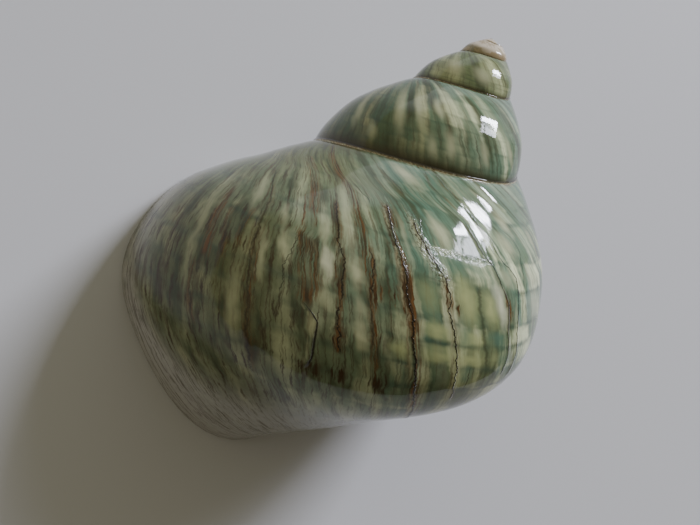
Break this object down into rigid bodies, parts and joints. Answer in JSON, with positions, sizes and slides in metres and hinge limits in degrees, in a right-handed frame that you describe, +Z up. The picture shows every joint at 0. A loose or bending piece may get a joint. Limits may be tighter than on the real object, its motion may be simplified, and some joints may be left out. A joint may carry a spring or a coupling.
{
  "type": "turban shell",
  "caption": "Polished turban shell lying on its mouth: a large rounded last whorl, a short stepped spire with a worn tip, low growth ridges and an open coiled hollow behind a flat-rimmed lip.",
  "frame": {"origin": "bottom centre of the shell's bounding box, in the plane of the lip on which it rests", "axes": "+Z up; +X along the floor towards the pointed tip of the spire; +Y towards the rounded back of the last whorl, beside the outer lip"},
  "size_m": [0.0676, 0.0616, 0.0393],
  "materials": {
    "polished_shell": "high polish over mottled sage green and cream with brown growth streaks"
  },
  "bodies": {
    "root": {"shell": "polished_shell"}
  },
  "joints": []
}
